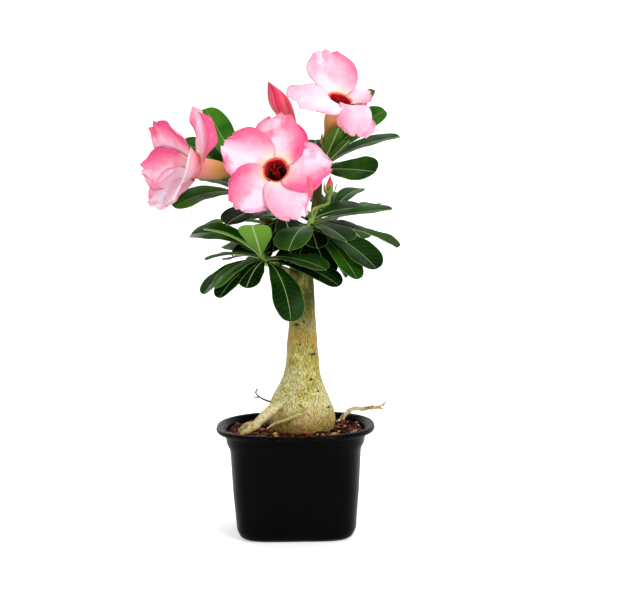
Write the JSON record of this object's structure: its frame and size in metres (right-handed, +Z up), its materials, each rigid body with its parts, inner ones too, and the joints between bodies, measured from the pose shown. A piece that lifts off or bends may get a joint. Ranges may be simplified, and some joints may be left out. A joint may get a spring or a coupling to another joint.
{
  "type": "potted desert rose plant",
  "caption": "Flowering desert rose with a swollen bottle-shaped stem, leafy shoots and trumpet blooms, rooted in a squared plastic nursery pot filled with soil.",
  "frame": {"origin": "centre of the flat underside of the pot, which stands at Z 0", "axes": "+Z up along the stem, -Y the front that faces the viewer, +X to the viewer's right"},
  "size_m": [0.2031, 0.1662, 0.375],
  "materials": {
    "pot": "satin, thin blow-moulded black plastic",
    "soil": "damp coconut fibre and bark chips",
    "bark": "smooth straw-coloured succulent bark with fine wrinkles",
    "leaf": "glossy, leathery green leaves on a green shoot",
    "stalk": "soft green, slightly downy",
    "petal": "matte pink petals, paler towards the middle",
    "anther": "deep red, downy"
  },
  "bodies": {
    "root": {"pot": "pot", "trunk": "bark", "soil": "soil", "shoot_low_left": "leaf", "shoot_centre": "leaf", "shoot_right": "leaf", "shoot_left": "leaf", "shoot_top_right": "leaf", "shoot_back_left": "leaf", "shoot_back_right": "leaf", "corolla_front": "petal", "anthers_front": "anther", "flower_stalk_front": "stalk", "corolla_left": "petal", "anthers_left": "anther", "flower_stalk_left": "stalk", "corolla_top": "petal", "anthers_top": "anther", "flower_stalk_top": "stalk", "bud": "petal", "bud_stalk": "stalk", "small_bud": "petal", "small_bud_stalk": "stalk"}
  },
  "joints": []
}
